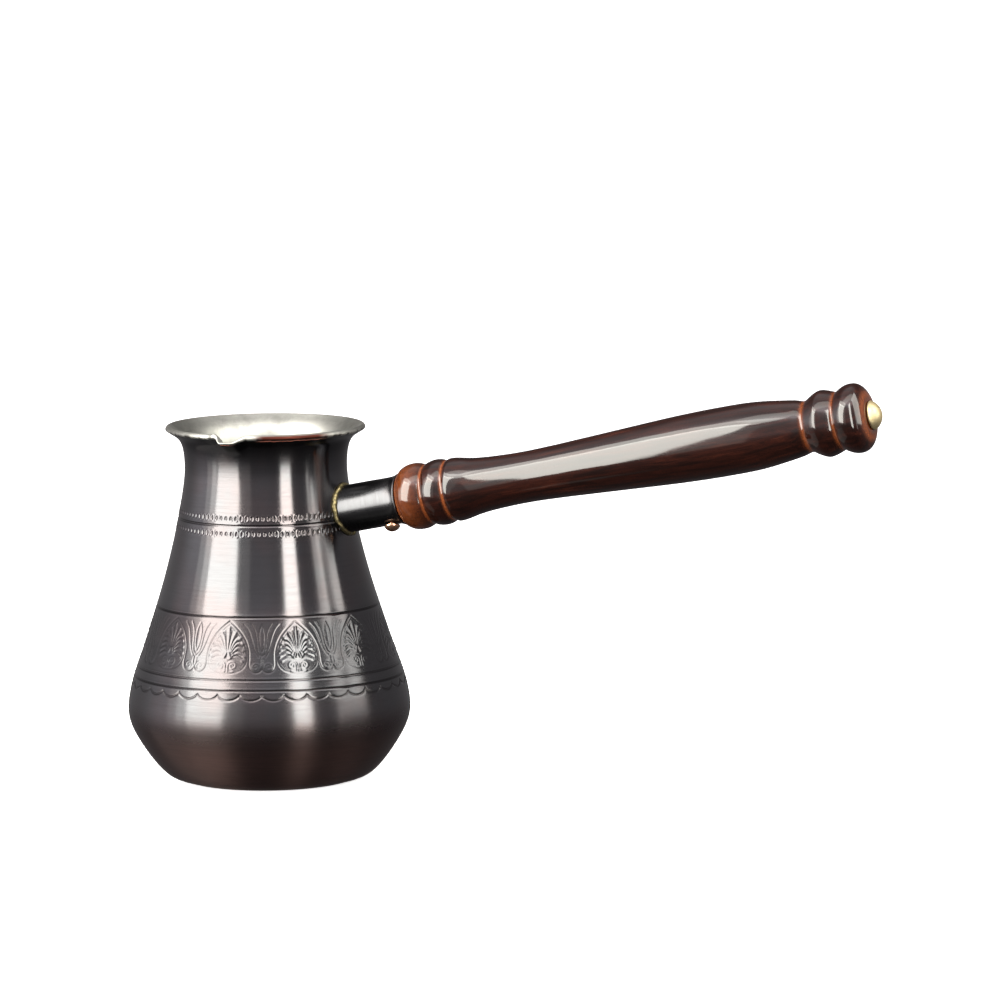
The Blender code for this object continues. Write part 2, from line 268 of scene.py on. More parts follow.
def arc_lengths(line):
    return np.concatenate([[0.0], np.cumsum(np.linalg.norm(np.diff(line, axis=0), axis=1))])


def outward_normals(line):
    """Unit normals to the right of a (radius, height) line, which is outward on a line going up."""
    run = np.gradient(line, axis=0)
    run /= np.linalg.norm(run, axis=1)[:, None]
    return np.stack([run[:, 1], -run[:, 0]], axis=1)


def smoothstep(low, high, value):
    share = np.clip((value - low) / (high - low), 0.0, 1.0)
    return share * share * (3 - 2 * share)


POT_LINE = spline_through(POT_OUTLINE, 60)
POT_ARC = arc_lengths(POT_LINE)
POT_NORMAL = outward_normals(POT_LINE)


def arc_at(height):
    """How far along the pot's outline a height is."""
    return float(np.interp(height, POT_LINE[:, 1], POT_ARC))


def on_pot(arc, inset=0.0):
    """(radius, height) points at these lengths along the outline, moved in by inset."""
    at = [np.interp(arc, POT_ARC, column) for column in (*POT_LINE.T, *POT_NORMAL.T)]
    return np.stack([at[0] - at[2] * inset, at[1] - at[3] * inset], axis=-1)


def steps_between(low, high, spacing):
    return np.linspace(low, high, max(2, int(round((high - low) / spacing)) + 1))


def degrees_from_spout(turns):
    return np.degrees((turns - SPOUT_TURN + math.pi) % (2 * math.pi) - math.pi)


def pinch_spout(points, inside):
    """Bends the lip outward and down at the spout. inside is 0 on the outer wall and 1 within."""
    x, y, z = np.moveaxis(points, -1, 0)
    radius = np.maximum(np.hypot(x, y), 1e-6)
    turn = degrees_from_spout(np.arctan2(y, x))
    rise = smoothstep(SPOUT_FOOT, SPOUT_TOP, z) ** 3
    bulge = smoothstep(*SPOUT_LEFT, turn) * (1 - smoothstep(*SPOUT_RIGHT, turn))
    fold = np.exp(-(((turn - SPOUT_FOLD) / SPOUT_FOLD_WIDTH) ** 2))
    grow = 1 + (SPOUT_REACH * bulge + SPOUT_LIFT * fold) * rise / radius
    drop = ((SPOUT_DROP + SPOUT_TROUGH * inside) * bulge - SPOUT_LIFT * fold) * rise
    return np.stack([x * grow, y * grow, z - drop], axis=-1)


def round_axis(radius, turns, height):
    return np.stack([radius * np.cos(turns), radius * np.sin(turns), height], axis=-1)


def turned(line, turns):
    """Points of a (radius, height) line at each of the turns round +Z, as rows by columns."""
    height = np.broadcast_to(line[:, 1][:, None], (len(line), len(turns)))
    return round_axis(line[:, :1], turns, height)


def even_turns(count, start=0.0):
    return start + np.arange(count) * 2 * math.pi / count


# ---------- ornament, in millimetres


def stroke(u, v, line, width):
    """How strongly each (u, v) point lies on a line: 1 on it, falling off over the width."""
    nearest = np.full(u.shape, np.inf)
    for (au, av), (bu, bv) in zip(line, line[1:]):
        du, dv = bu - au, bv - av
        share = np.clip(((u - au) * du + (v - av) * dv) / max(du * du + dv * dv, 1e-9), 0, 1)
        nearest = np.minimum(nearest, np.hypot(u - au - share * du, v - av - share * dv))
    return np.exp(-((nearest / width) ** 2))


def with_strokes(height, u, v, strokes):
    """The height with each stroke, given as (rise in mm, line, width), added in turn."""
    for rise, line, width in strokes:
        height = height + rise * stroke(u, v, line, width)
    return height


def spiral(centre, radius, start, turns):
    """A volute's line, from its outer end in to its eye. Negative turns run clockwise."""
    share = np.linspace(0, 1, 40)
    angle = math.radians(start) + 2 * math.pi * turns * share
    reach = radius * (1 - 0.8 * share)
    return np.stack([centre[0] + reach * np.cos(angle), centre[1] + reach * np.sin(angle)], axis=1)


PALMETTE_ARCH = [
    (0.0, 16.6), (1.2, 15.8), (3.2, 14.1), (5.0, 12.1), (6.3, 9.8), (7.1, 7.2), (7.25, 4.8),
    (7.25, 2.6), (7.75, 1.1), (9.1, 0.2), (10.5, 0.4), (11.45, 1.4),
]
PALMETTE_EGG = [
    (0.0, 15.5), (1.0, 14.8), (2.7, 13.2), (4.4, 11.3), (5.6, 9.2), (6.4, 7.0), (6.6, 5.2),
    (6.4, 3.4), (5.6, 1.8), (4.3, 0.7), (2.3, 0.0), (0.0, -0.3),
]
LEAF_TIPS = [(0.0, 14.6), (2.4, 13.0), (4.2, 11.3), (5.1, 9.4), (5.6, 7.3), (5.8, 5.3), (5.3, 3.8)]
LOTUS_PETAL = [(0.0, 15.8), (0.85, 13.6), (1.0, 11.0), (0.75, 8.8), (0.0, 6.9)]
LOTUS_INNER = [
    (3.8, 15.9), (2.7, 14.2), (2.05, 12.3), (1.75, 9.9), (1.55, 8.0), (1.05, 6.3), (0.0, 5.5),
]
LOTUS_OUTER = [(6.4, 15.7), (4.9, 14.1), (3.8, 11.7), (3.0, 9.1), (2.1, 6.8), (1.1, 5.2)]


def leaf_line(index):
    """The middle of one leaf of the palmette, from the hub out to its curled tip."""
    tip_u, tip_v = LEAF_TIPS[index]
    fan = index / (len(LEAF_TIPS) - 1)
    hub = (0.25 + 0.9 * fan if index else 0.0, 6.6 - 1.6 * fan)
    lift = 0.5 + 1.1 * math.sin(math.pi * fan)
    mid = (hub[0] + 0.52 * (tip_u - hub[0]), hub[1] + 0.52 * (tip_v - hub[1]) + lift * (index > 0))
    return spline_through([hub, mid, (tip_u, tip_v)], 8)


def palmette_relief(u, v):
    """Height in mm of the palmette, whose own half is drawn and read from both sides."""
    u = np.abs(u)
    egg = spline_through(PALMETTE_EGG, 6)
    egg_side = np.interp(v, egg[::-1, 1], egg[::-1, 0])
    inside = smoothstep(0.2, 0.9, egg_side - u) * smoothstep(-0.3, 0.5, v)
    leaves = [leaf_line(i) for i in range(len(LEAF_TIPS))]
    strokes = [(-0.24, spline_through(PALMETTE_ARCH, 8), 0.27), (-0.15, egg, 0.24)]
    for leaf in leaves:
        strokes += [(0.17, leaf, 0.42), (0.12, leaf[-2:], 0.38)]
    for one, other in zip(leaves, leaves[1:]):
        strokes.append((-0.16, (one + other)[1:-1] / 2, 0.17))
    foot = spline_through([(0.4, 0.6), (1.2, 0.25), (2.4, 0.5)], 5)
    hub = spline_through([(0.0, 4.3), (1.3, 4.9), (1.9, 5.9), (1.2, 6.8), (0.0, 6.5)], 5)
    strokes += [
        (0.16, spiral((1.93, 2.35), 1.5, 190, -1.45), 0.26),
        (0.14, [(0.42, 0.4), (0.42, 2.4)], 0.24),
        (0.14, foot, 0.24),
        (0.15, hub, 0.28),
    ]
    height = with_strokes(-0.10 * inside, u, v, strokes)
    return height + 0.12 * np.exp(-((u / 1.1) ** 2 + ((v - 5.5) / 0.8) ** 2))


def lotus_relief(u, v):
    """Height in mm of the lotus between two palmettes."""
    u = np.abs(u)
    height = with_strokes(0.0, u, v, [
        (-0.20, spline_through(LOTUS_INNER, 6), 0.24),
        (-0.20, spline_through(LOTUS_OUTER, 6), 0.24),
        (-0.20, spline_through(LOTUS_PETAL, 6), 0.22),
    ])
    height = height + 0.10 * np.exp(-((u / 0.45) ** 2 + ((v - 11.2) / 2.8) ** 2))
    return with_strokes(height, u, v, [
        (0.15, spiral((2.05, 1.95), 1.4, 190, -1.4), 0.25),
        (0.14, [(0.0, 4.6), (0.0, 2.3)], 0.30),
        (-0.12, [(0.55, 4.5), (0.55, 2.4)], 0.20),
    ])


def frieze_relief(heights):
    """Height in mm at each row, for one repeat's columns and then all round the pot."""
    columns = np.arange(COLUMNS_PER_REPEAT) / COLUMNS_PER_REPEAT
    from_palmette = ((columns + 0.5) % 1.0 - 0.5) * FRIEZE_PITCH_MM
    from_lotus = (columns - 0.5) * FRIEZE_PITCH_MM
    v = ((heights - FRIEZE_BASE) / MM)[:, None]
    relief = palmette_relief(*np.broadcast_arrays(from_palmette, v))
    relief = relief + lotus_relief(*np.broadcast_arrays(from_lotus, v))
    return np.tile(relief * FRIEZE_DEPTH, (1, REPEATS))


def ring_grooves(heights):
    total = np.zeros(len(heights))
    for groove in (NECK_GROOVE, FRIEZE_TOP_GROOVE, FRIEZE_LOW_GROOVE, BELLY_GROOVE):
        away = (heights - groove) / MM / GROOVE_WIDTH_MM
        total -= GROOVE_DEPTH_MM * np.exp(-away * away)
        total += 0.05 * np.exp(-((np.abs(away) - 2.2) ** 2))
    return total[:, None]


def dimple_relief(turns, heights):
    """Two rows of small punched ovals round the neck."""
    relief = np.zeros((len(heights), len(turns)))
    for row, middle in enumerate(DIMPLE_ROWS):
        radius_mm = np.interp(middle, POT_LINE[:, 1], POT_LINE[:, 0]) / MM
        share = turns * DIMPLES / (2 * math.pi) + 0.3 * row
        across = (share - np.round(share)) * 2 * math.pi * radius_mm / DIMPLES / DIMPLE_WIDTH_MM
        up = ((heights - middle) / MM / DIMPLE_HEIGHT_MM)[:, None]
        away = np.hypot(across[None, :], up)
        relief -= DIMPLE_DEPTH_MM * (1 - smoothstep(0.45, 1.05, away))
        relief += 0.05 * np.exp(-((away - 1.3) / 0.25) ** 2)
    return relief


def scallop_relief(turns, heights):
    """A line of hanging arcs under the frieze."""
    share = (turns - SCALLOP_TURN) * SCALLOPS / (2 * math.pi)
    across = 2 * (share - np.floor(share)) - 1
    hang = SCALLOP_DROP_MM * (1 - across * across) ** 0.75
    up = ((heights - SCALLOP_CUSP) / MM)[:, None] + hang[None, :]
    slope = np.abs(np.gradient(hang)) / 0.28
    away = up / np.sqrt(1 + slope * slope)[None, :]
    cusp = np.exp(-(((1 - np.abs(across)) / 0.06) ** 2))[None, :]
    return -0.22 * np.exp(-((away / 0.27) ** 2)) - 0.12 * cusp * np.exp(-((up / 0.4) ** 2))


def wall_relief(turns, heights):
    """All that is rolled, punched and pressed into the outer wall, in mm."""
    relief = np.broadcast_to(ring_grooves(heights), (len(heights), len(turns)))
    relief = relief + dimple_relief(turns, heights) + scallop_relief(turns, heights)
    banded = (heights > BELLY_GROOVE - 1e-6) & (heights < FRIEZE_TOP_GROOVE + 1e-6)
    if banded.all():
        relief = relief + frieze_relief(heights)
    return relief


# ---------- meshes

# Lowest and highest v in the UV map, for the shown and the hidden faces of a closed ring and of a
# capped piece, whose caps take the top of the map
RING_SHOWN = (0.0, 0.94)
RING_HIDDEN = (0.95, 1.0)
CAPPED_SHOWN = (0.0, 0.82)
CAPPED_HIDDEN = (0.83, 0.87)


def add_object(name, data):
    obj = bpy.data.objects.new(name, data)
    bpy.context.scene.collection.objects.link(obj)
    return obj


def strip_uvs(rows, columns, strips, low, high):
    """Corner UVs of a band of quads, cut into equal strips that are stacked from low to high v."""
    row, column = np.meshgrid(np.arange(rows), np.arange(columns), indexing="ij")
    per_strip = columns // strips
    strip = column // per_strip
    corners = []
    for up, right in ((0, 0), (0, 1), (1, 1), (1, 0)):
        along = (column - strip * per_strip + right) / per_strip
        across = (strip + 0.02 + 0.96 * (row + up) / rows) / strips
        corners.append(np.stack([along, low + (high - low) * across], axis=-1))
    return np.stack(corners, axis=2).reshape(-1, 2)


def grid_object(name, points, bands, closed=False, sharp_rows=(), attributes=None):
    """A piece from rows of points that run round an axis, with each band of rows given its UVs.

    A band is (its number of quad rows, its strips, its lowest and highest v). A closed piece joins
    its last row to its first; another one is capped with a flat face at each end.
    """
    rows, columns = points.shape[:2]
    quad_rows = rows if closed else rows - 1
    row, column = np.meshgrid(np.arange(quad_rows), np.arange(columns), indexing="ij")
    above, beside = (row + 1) % rows, (column + 1) % columns
    quads = np.stack(
        [row * columns + column, row * columns + beside,
         above * columns + beside, above * columns + column], axis=-1
    ).reshape(-1, 4)
    uvs = np.vstack([strip_uvs(count, columns, strips, *span) for count, strips, span in bands])
    flat = points.reshape(-1, 3)
    corners = flat[quads]
    middles = corners.mean(axis=1)
    areas = np.cross(corners[:, 2] - corners[:, 0], corners[:, 3] - corners[:, 1])
    turned_in = (middles * areas).sum() < 0
    faces = quads[:, ::-1].tolist() if turned_in else quads.tolist()
    if turned_in:
        uvs = uvs.reshape(-1, 4, 2)[:, ::-1].reshape(-1, 2)
    if not closed:
        ends = [list(range(columns)), list(range((rows - 1) * columns, rows * columns))]
        ends[1 if turned_in else 0].reverse()
        faces += ends
        for end, middle in zip(ends, ((0.06, 0.93), (0.20, 0.93))):
            ring = flat[end] - flat[end].mean(axis=0)
            reach = np.abs(ring).max()
            side = ring[:, :2] if np.ptp(ring[:, 0]) > 0 else ring[:, 1:]
            uvs = np.vstack([uvs, np.array(middle) + 0.055 * side / reach])
    mesh = bpy.data.meshes.new(name)
    mesh.from_pydata(flat, [], faces)
    mesh.uv_layers.new(name="OFBake").uv.foreach_set("vector", uvs.astype(np.float32).ravel())
    mesh.shade_smooth()
    mark_sharp_rows(mesh, columns, [*sharp_rows, *(() if closed else (0, rows - 1))])
    for label, values in (attributes or {}).items():
        add_attribute(mesh, label, values)
    add_attribute(mesh, "place", points / MM)
    return add_object(name, mesh)


def mark_sharp_rows(mesh, columns, sharp_rows):
    ends = np.empty(len(mesh.edges) * 2, np.int32)
    mesh.edges.foreach_get("vertices", ends)
    row = ends.reshape(-1, 2) // columns
    sharp = (row[:, 0] == row[:, 1]) & np.isin(row[:, 0], list(sharp_rows))
    attributes = mesh.attributes
    edges = attributes.get("sharp_edge") or attributes.new("sharp_edge", "BOOLEAN", "EDGE")
    edges.data.foreach_set("value", sharp)


def add_attribute(mesh, label, values):
    values = np.asarray(values, np.float32)
    vector = values.shape[-1] == 3 and values.ndim > 2
    attribute = mesh.attributes.new(label, "FLOAT_VECTOR" if vector else "FLOAT", "POINT")
    attribute.data.foreach_set("vector" if vector else "value", values.ravel())


def smooth_noise(turns, waves, seed):
    """A wandering line round an axis, between about -1 and 1, from a few sine waves."""
    random = np.random.default_rng(seed)
    total = sum(
        random.uniform(0.4, 1.0) * np.sin(wave * turns + random.uniform(0, 2 * math.pi))
        for wave in waves
    )
    return total / len(waves) * 1.6


# ---------- nodes


class Nodes:
    """A node tree, with a short way to add nodes to it."""

    def __init__(self, tree):
        self.tree = tree

    def node(self, kind, inputs=(), **settings):
        made = self.tree.nodes.new(kind)
        for key, value in settings.items():
            setattr(made, key, value)
        for key, value in dict(inputs).items():
            self.feed(made.inputs[key], value)
        return made

    def feed(self, socket, value):
        if isinstance(value, bpy.types.NodeSocket):
            self.tree.links.new(value, socket)
        else:
            socket.default_value = value

    def math(self, operation, a, b):
        return self.node("ShaderNodeMath", {0: a, 1: b}, operation=operation).outputs[0]


class Shader(Nodes):
    """A Principled material."""

    def __init__(self, name):
        self.material = bpy.data.materials.new(name)
        self.material.use_nodes = True
        super().__init__(self.material.node_tree)
        self.principled = self.tree.nodes["Principled BSDF"]

    def set(self, **sockets):
        """Sets or links the shader's own sockets; an underscore in a name is a space."""
        for key, value in sockets.items():
            self.feed(self.principled.inputs[key.replace("_", " ")], value)

    def attribute(self, label, output="Fac"):
        return self.node("ShaderNodeAttribute", attribute_name=label).outputs[output]

    def noise(self, vector, scale, detail=3.0, roughness=0.55, distortion=0.0):
        """Noise at one scale or, where it is stretched, at a scale for each axis."""
        if isinstance(scale, tuple):
            stretch = {0: vector, 1: scale}
            vector = self.node("ShaderNodeVectorMath", stretch, operation="MULTIPLY").outputs[0]
            scale = 1.0
        inputs = {
            "Vector": vector, "Scale": scale, "Detail": detail,
            "Roughness": roughness, "Distortion": distortion,
        }
        return self.node("ShaderNodeTexNoise", inputs).outputs["Fac"]

    def span(self, value, low, high, to_low=0.0, to_high=1.0):
        """The value's place between low and high, smoothly, as a number from to_low to to_high."""
        inputs = {
            "Value": value, "From Min": low, "From Max": high, "To Min": to_low, "To Max": to_high,
        }
        made = self.node("ShaderNodeMapRange", inputs, interpolation_type="SMOOTHSTEP")
        return made.outputs["Result"]

    def blend(self, share, a, b):
        """Two colours mixed. Each is a socket or three numbers."""
        made = self.node("ShaderNodeMix", {0: share}, data_type="RGBA")
        for socket, value in zip((made.inputs[6], made.inputs[7]), (a, b)):
            self.feed(socket, value if isinstance(value, bpy.types.NodeSocket) else (*value, 1.0))
        return made.outputs[2]

    def bump(self, height, distance, strength):
        inputs = {"Height": height, "Distance": distance, "Strength": strength}
        return self.node("ShaderNodeBump", inputs).outputs["Normal"]

    def brush_round_axis(self, anisotropic):
        """Metal brushed round local Z, whose shine spreads along Z."""
        tangent = self.node("ShaderNodeTangent", direction_type="RADIAL", axis="Z").outputs[0]
        self.set(Anisotropic=anisotropic, Anisotropic_Rotation=QUARTER_TURN, Tangent=tangent)


# ---------- materials

QUARTER_TURN = 0.25  # of anisotropic rotation
PATINA = (0.077, 0.077, 0.081)
PATINA_WARM = (0.086, 0.075, 0.077)
# painted reflection: redder, brighter copper low on the pot, standing in for the floor reflected
# there
PAINTED_BELLY_REFLECTION = (0.128, 0.080, 0.073)
PATINA_DARK = (0.033, 0.028, 0.028)
PATINA_WORN = (0.600, 0.170, 0.100)
WORN_COPPER = (0.060, 0.017, 0.012)
TIN = (0.43, 0.426, 0.392)
TIN_DULL = (0.25, 0.25, 0.23)
BRAZE_BRIGHT = (0.24, 0.195, 0.095)
BRAZE_DULL = (0.09, 0.078, 0.045)
SCREW_BRASS = (0.70, 0.42, 0.27)
SCREW_TARNISH = (0.34, 0.17, 0.10)
STUD_BRASS = (0.52, 0.43, 0.25)
STUD_TARNISH = (0.42, 0.33, 0.18)
PAPER = (0.93, 0.93, 0.925)
PAPER_SHADE = (0.90, 0.90, 0.895)


def metal_brushing(shader, place):
    """Fine turning lines round local +Z: fast along the axis and slow round it."""
    fine = shader.noise(place, (0.16, 0.16, 7.0), detail=2.0)
    broad = shader.noise(place, (0.03, 0.03, 1.3))
    return fine, broad


def patinated_copper(name, belly=True, smooth=0.17, rough=0.26, anisotropic=0.9):
    """Dark antiqued copper, brushed round its axis, with tin and bare copper where marked, and,
    with belly set, a painted reflection that makes the copper redder and brighter towards the base.
    """
    shader = Shader(name)
    place = shader.attribute("place", "Vector")
    fine, broad = metal_brushing(shader, place)
    patches = shader.noise(place, scale=0.035, detail=4.0, roughness=0.6)
    color = shader.blend(shader.span(patches, 0.42, 0.68), PATINA, PATINA_WARM)
    roughness = smooth
    if belly:
        height = shader.node("ShaderNodeSeparateXYZ", {0: place}).outputs["Z"]
        # painted reflection: towards the base the copper colour turns redder and brighter
        low = shader.span(height, 29.0, 12.0)
        color = shader.blend(low, color, PAINTED_BELLY_REFLECTION)
        roughness = shader.span(height, 66.0, 54.0, smooth, rough)
        roughness = shader.math("ADD", roughness, shader.span(height, 26.0, 10.0, 0.0, 0.06))
    color = shader.blend(shader.span(broad, 0.40, 0.80, 0.0, 0.15), color, PATINA_DARK)
    color = shader.blend(shader.span(fine, 0.45, 0.75, 0.0, 0.18), color, PATINA_DARK)
    relief = shader.attribute("relief")
    color = shader.blend(shader.span(relief, -0.02, -0.10, 0.0, 0.40), color, PATINA_DARK)
    worn = shader.attribute("worn")
    color = shader.blend(worn, color, PATINA_WORN)
    tinned = shader.attribute("tinned")
    tin_color = shader.blend(shader.noise(place, scale=0.7, detail=4.0), TIN, TIN_DULL)
    color = shader.blend(tinned, color, tin_color)
    roughness = shader.math("ADD", roughness, shader.span(patches, 0.3, 0.75, -0.02, 0.02))
    height = shader.math("ADD", shader.math("MULTIPLY", fine, 0.7), broad)
    shader.set(
        Base_Color=color, Metallic=shader.span(worn, 0.0, 1.0, 1.0, 0.0),
        Roughness=roughness, Normal=shader.bump(height, 0.000015, 0.5),
    )
    shader.brush_round_axis(anisotropic)
    return shader.material


def tinned_copper(name):
    """Wiped tin: satin, faintly streaked round the pot and duller in patches."""
    shader = Shader(name)
    place = shader.attribute("place", "Vector")
    fine, broad = metal_brushing(shader, place)
    clouds = shader.noise(place, scale=0.09, detail=5.0, roughness=0.65)
    color = shader.blend(shader.span(clouds, 0.35, 0.75), TIN, TIN_DULL)
    color = shader.blend(shader.span(broad, 0.45, 0.8, 0.0, 0.3), color, TIN_DULL)
    outside = shader.math("SUBTRACT", 1.0, shader.attribute("tinned"))
    color = shader.blend(outside, color, PATINA_DARK)
    color = shader.blend(shader.attribute("worn"), color, WORN_COPPER)
    roughness = shader.span(clouds, 0.3, 0.8, 0.44, 0.52)
    shader.set(
        Base_Color=color, Metallic=1.0, Roughness=roughness, Normal=shader.bump(fine, 0.00003, 0.6),
    )
    shader.brush_round_axis(0.4)
    return shader.material


def braze_brass(name):
    """Brazing brass left as it flowed: pitted, dull and olive in places."""
    shader = Shader(name)
    place = shader.attribute("place", "Vector")
    pits = shader.noise(place, scale=1.6, detail=4.0)
    color = shader.blend(shader.span(pits, 0.35, 0.65), BRAZE_BRIGHT, BRAZE_DULL)
    shader.set(
        Base_Color=color, Metallic=1.0, Roughness=shader.span(pits, 0.3, 0.7, 0.3, 0.55),
        Normal=shader.bump(pits, 0.0003, 0.7),
    )
    return shader.material


def fastener_brass(name, color, dull, roughness):
    """Polished brass with hairline scratches and a little tarnish."""
    shader = Shader(name)
    place = shader.attribute("place", "Vector")
    scratches = shader.noise(place, (0.5, 9.0, 0.5), detail=2.0)
    tarnish = shader.noise(place, scale=0.8, detail=4.0)
    tint = shader.blend(shader.span(tarnish, 0.45, 0.75), color, dull)
    shader.set(
        Base_Color=tint, Metallic=1.0,
        Roughness=shader.span(tarnish, 0.3, 0.8, roughness, roughness + 0.15),
        Normal=shader.bump(scratches, 0.00003, 0.5),
    )
    return shader.material


WOOD_DARK = (0.0050, 0.0015, 0.0010)
WOOD_MID = (0.014, 0.0032, 0.0018)
WOOD_STREAK = (0.032, 0.0075, 0.0036)
WOOD_BARE = (0.22, 0.055, 0.014)


def lacquered_wood(name):
    """Dark hardwood turned along its grain under a thick gloss lacquer."""
    shader = Shader(name)
    place = shader.attribute("place", "Vector")
    fibres = shader.noise(place, (0.55, 0.55, 0.035), detail=5.0, roughness=0.6, distortion=0.6)
    pores = shader.noise(place, (5.0, 5.0, 0.22))
    color = shader.blend(shader.span(fibres, 0.36, 0.60), WOOD_DARK, WOOD_MID)
    color = shader.blend(shader.span(fibres, 0.56, 0.74), color, WOOD_STREAK)
    color = shader.blend(shader.span(pores, 0.50, 0.66, 0.0, 0.7), color, WOOD_DARK)
    rubbed = shader.noise(place, (0.9, 0.9, 0.9))
    rubbed = shader.span(rubbed, 0.2, 0.6, 0.55, 1.0)
    bare = shader.math("MULTIPLY", shader.attribute("bare"), rubbed)
    color = shader.blend(bare, color, WOOD_BARE)
    waviness = shader.noise(place, (0.22, 0.22, 0.05), detail=2.0)
    shader.set(
        Base_Color=color, Roughness=shader.span(pores, 0.3, 0.7, 0.28, 0.42),
        Specular_IOR_Level=0.0, Coat_Weight=1.0, Coat_Roughness=0.10, Coat_IOR=1.55,
        Normal=shader.bump(pores, 0.00003, 0.4),
        Coat_Normal=shader.bump(waviness, 0.0008, 0.08),
    )
    return shader.material


def pale_floor(name):
    """Seamless studio paper that stays pale and takes a faint shadow."""
    shader = Shader(name)
    paper = shader.noise(shader.node("ShaderNodeTexCoord").outputs["Object"], scale=60.0)
    color = shader.blend(paper, PAPER, PAPER_SHADE)
    shader.set(
        Base_Color=color, Roughness=0.9, Specular_IOR_Level=0.1,
        Emission_Color=(1.0, 1.0, 1.0, 1.0), Emission_Strength=0.78,
    )
    return shader.material


# ---------- pieces


def place_piece(obj, material, slot, *nodes):
    obj.data.materials.append(material)
    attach(obj, BODY)
    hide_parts(*nodes)
    return obj


def front_wear(turns):
    """How far the tin is rubbed through along the front of the lip, beside the spout."""
    degrees = degrees_from_spout(turns)
    return smoothstep(14, 22, degrees) * (1 - smoothstep(54, 66, degrees))


def rim_wear(turns):
    """Where the copper is rubbed bare below the lip, strongest under the spout."""
    under = np.exp(-(((degrees_from_spout(turns) + 0.5) / 4.5) ** 2))
    return np.clip(under + 0.8 * front_wear(turns), 0, 1)


def carved_wall(arcs, turns):
    """The outer wall's points at these lengths along the outline, and the relief they carry."""
    line = on_pot(arcs)
    relief = wall_relief(turns, line[:, 1])
    normals = np.stack([np.interp(arcs, POT_ARC, n) for n in POT_NORMAL.T], axis=1)
    push = turned(normals, turns)
    return turned(line, turns) + push * (relief * MM)[..., None], relief


def wall_piece(name, arcs, material, strips):
    """A closed ring of the copper wall along one stretch of the outline, with its ornament."""
    turns = even_turns(COLUMNS, PALMETTE_TURN)
    carved, relief = carved_wall(arcs, turns)
    outer = pinch_spout(carved, 0.0)
    inner_arcs = steps_between(arcs[0], arcs[-1], INNER_ROW)[::-1]
    inner = pinch_spout(turned(on_pot(inner_arcs, WALL), turns), 0.5)
    points = np.concatenate([outer, inner])
    below_rim = (POT_ARC[-1] - arcs)[:, None] / MM
    ragged = TIN_RAGGED_MM * smooth_noise(turns, (17, 41, 67, 113, 171), RNG_SEED)
    edge = TIN_EDGE_MM + ragged[None, :]
    tinned = 1 - smoothstep(-0.15, 0.15, below_rim - edge)
    wear = rim_wear(turns)[None, :]
    spout = np.exp(-(((turns - SPOUT_TURN) / SPOUT_WEAR_TURN) ** 2))[None, :]
    depth = RIM_WEAR_MM + SPOUT_WEAR_MM * spout
    worn = wear * (1 - smoothstep(0.5 * depth, depth, below_rim - edge))
    blank = np.zeros((len(inner), COLUMNS))
    attributes = {
        "relief": np.vstack([relief, blank]),
        "tinned": np.vstack([tinned, blank]),
        "worn": np.vstack([worn * (1 - tinned), blank]),
    }
    sharp = (0, len(outer) - 1, len(outer), len(points) - 1)
    bands = [(len(outer) - 1, strips, RING_SHOWN), (len(inner) + 1, 1, RING_HIDDEN)]
    obj = grid_object(name, points, bands, closed=True, sharp_rows=sharp, attributes=attributes)
    return place_piece(obj, material, "patinated_copper", "pot_body")


def make_wall(material):
    """The wall above the belly, with the closest rows of mesh where the ornament is."""
    top = POT_ARC[-1] - RIM_COVER
    heights, spacings = zip(*SHOULDER_STRETCHES)
    marks = [*map(arc_at, heights), top]
    stretches = [steps_between(*ends) for ends in zip(marks, marks[1:], spacings)]
    upper = np.concatenate([stretches[0], *(rows[1:] for rows in stretches[1:])])
    wall_piece("pot_shoulder", upper, material, 2)
    frieze = steps_between(arc_at(BELLY_GROOVE), arc_at(FRIEZE_TOP_GROOVE), FRIEZE_ROW)
    wall_piece("pot_frieze", frieze, material, 4)


def make_belly(material):
    """The lowest part of the wall and the flat base, as one shell with a cap inside and out."""
    turns = even_turns(COLUMNS, PALMETTE_TURN)
    arcs = np.concatenate([
        steps_between(0.0, arc_at(SCALLOP_FOOT), PLAIN_ROW),
        steps_between(arc_at(SCALLOP_FOOT), arc_at(BELLY_GROOVE), SCALLOP_ROW)[1:],
    ])
    outer, relief = carved_wall(arcs, turns)
    base = turned(np.array([(BASE_CAP_RADIUS, 0.0)]), turns)
    inner_arcs = steps_between(INNER_FOOT_ARC, arcs[-1], INNER_ROW)[::-1]
    inner = turned(on_pot(inner_arcs, WALL), turns)
    inner_base = turned(np.array([(BASE_CAP_RADIUS, WALL)]), turns)
    points = np.concatenate([base, outer, inner, inner_base])
    blank_low = np.zeros((1, COLUMNS))
    blank = np.zeros((len(inner) + 1, COLUMNS))
    zero = np.zeros((len(points), COLUMNS))
    attributes = {
        "relief": np.vstack([blank_low, relief, blank]), "tinned": zero, "worn": zero,
    }
    sharp = (len(outer), len(outer) + 1)
    bands = [(len(outer), 2, CAPPED_SHOWN), (len(inner) + 1, 1, CAPPED_HIDDEN)]
    obj = grid_object("pot_belly", points, bands, sharp_rows=sharp, attributes=attributes)
    return place_piece(obj, material, "patinated_copper", "pot_body")


